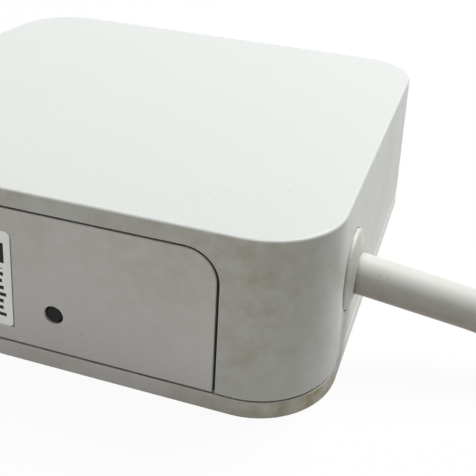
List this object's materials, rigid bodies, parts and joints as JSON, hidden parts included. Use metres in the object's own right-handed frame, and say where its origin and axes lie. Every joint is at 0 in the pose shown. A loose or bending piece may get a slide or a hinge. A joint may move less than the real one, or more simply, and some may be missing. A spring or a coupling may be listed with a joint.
{
  "type": "heating controller",
  "caption": "Wall-plate heating receiver box with rounded corners, a pull-off terminal cover, a recessed reset cap and a fitted supply flex.",
  "frame": {"origin": "centre of the base plate's underside, the face that goes against the wall", "axes": "+X to the right of the terminal cover, towards the flex; +Y away from the terminal cover; +Z off the wall, out of the top face"},
  "size_m": [0.2437, 0.1159, 0.033],
  "materials": {
    "shell_white": "satin, fine texture",
    "cover_white": "satin, fine texture",
    "label_film": "satin film",
    "gland_white": "satin",
    "clamp_nylon": "satin",
    "zinc_steel": "zinc plated",
    "terminal_brass": "bright",
    "board_laminate": "satin solder mask",
    "terminal_green": "satin",
    "relay_blue": "gloss",
    "module_black": "matt",
    "fuse_glass": "clear",
    "varistor_blue": "gloss lacquer",
    "film_yellow": "gloss",
    "can_aluminium": "bright",
    "shield_tin": "tinned",
    "resistor_black": "matt",
    "switch_grey": "matt",
    "led_clear": "clear",
    "sheath_white": "satin PVC",
    "core_brown_pvc": "satin PVC",
    "core_blue_pvc": "satin PVC",
    "core_earth_pvc": "green and yellow, satin PVC",
    "ferrule_tin": "tinned copper",
    "tie_nylon": "satin",
    "aerial_sleeve": "matt",
    "cap_rubber": "satin"
  },
  "bodies": {
    "main_unit": {"housing": "shell_white", "base_plate": "shell_white", "cable_gland": "gland_white", "gland_locknut": "clamp_nylon", "cable_clamp": "clamp_nylon", "clamp_screws": "zinc_steel", "main_board": "board_laminate", "board_screws": "zinc_steel", "terminal_block": "terminal_green", "terminal_clamps": "terminal_brass", "terminal_screws": "zinc_steel", "relay_heating": "relay_blue", "relay_water": "relay_blue", "power_module": "module_black", "fuse": "fuse_glass", "fuse_clips": "terminal_brass", "varistor": "varistor_blue", "x2_capacitor": "film_yellow", "bulk_capacitor": "can_aluminium", "output_capacitor": "can_aluminium", "radio_board": "board_laminate", "radio_shield": "shield_tin", "microcontroller": "module_black", "crystal": "shield_tin", "board_resistors": "resistor_black", "flyback_diodes": "module_black", "reset_switch": "switch_grey", "status_led": "led_clear", "cable_entry": "sheath_white", "core_brown": "core_brown_pvc", "core_blue": "core_blue_pvc", "core_earth": "core_earth_pvc", "core_ferrules": "ferrule_tin", "antenna": "aerial_sleeve", "supply_cable": "sheath_white", "cable_coil": "sheath_white", "cable_tie": "tie_nylon", "lead_core_brown": "core_brown_pvc", "lead_core_blue": "core_blue_pvc", "lead_core_earth": "core_earth_pvc", "lead_ferrules": "ferrule_tin"},
    "cover": {"terminal_cover": "cover_white", "reset_cap": "cap_rubber", "label": "label_film"},
    "button": {"reset_button": "module_black"}
  },
  "joints": [
    {"name": "cover_pull", "type": "slide", "parent": "main_unit", "child": "cover", "axis": [0, -1, 0], "range_m": [0, 0.04]},
    {"name": "reset_press", "type": "slide", "parent": "main_unit", "child": "button", "axis": [0, 1, 0], "range_m": [0, 0.0005], "stiffness_N_per_m": 2000, "springref_m": -0.0005}
  ]
}
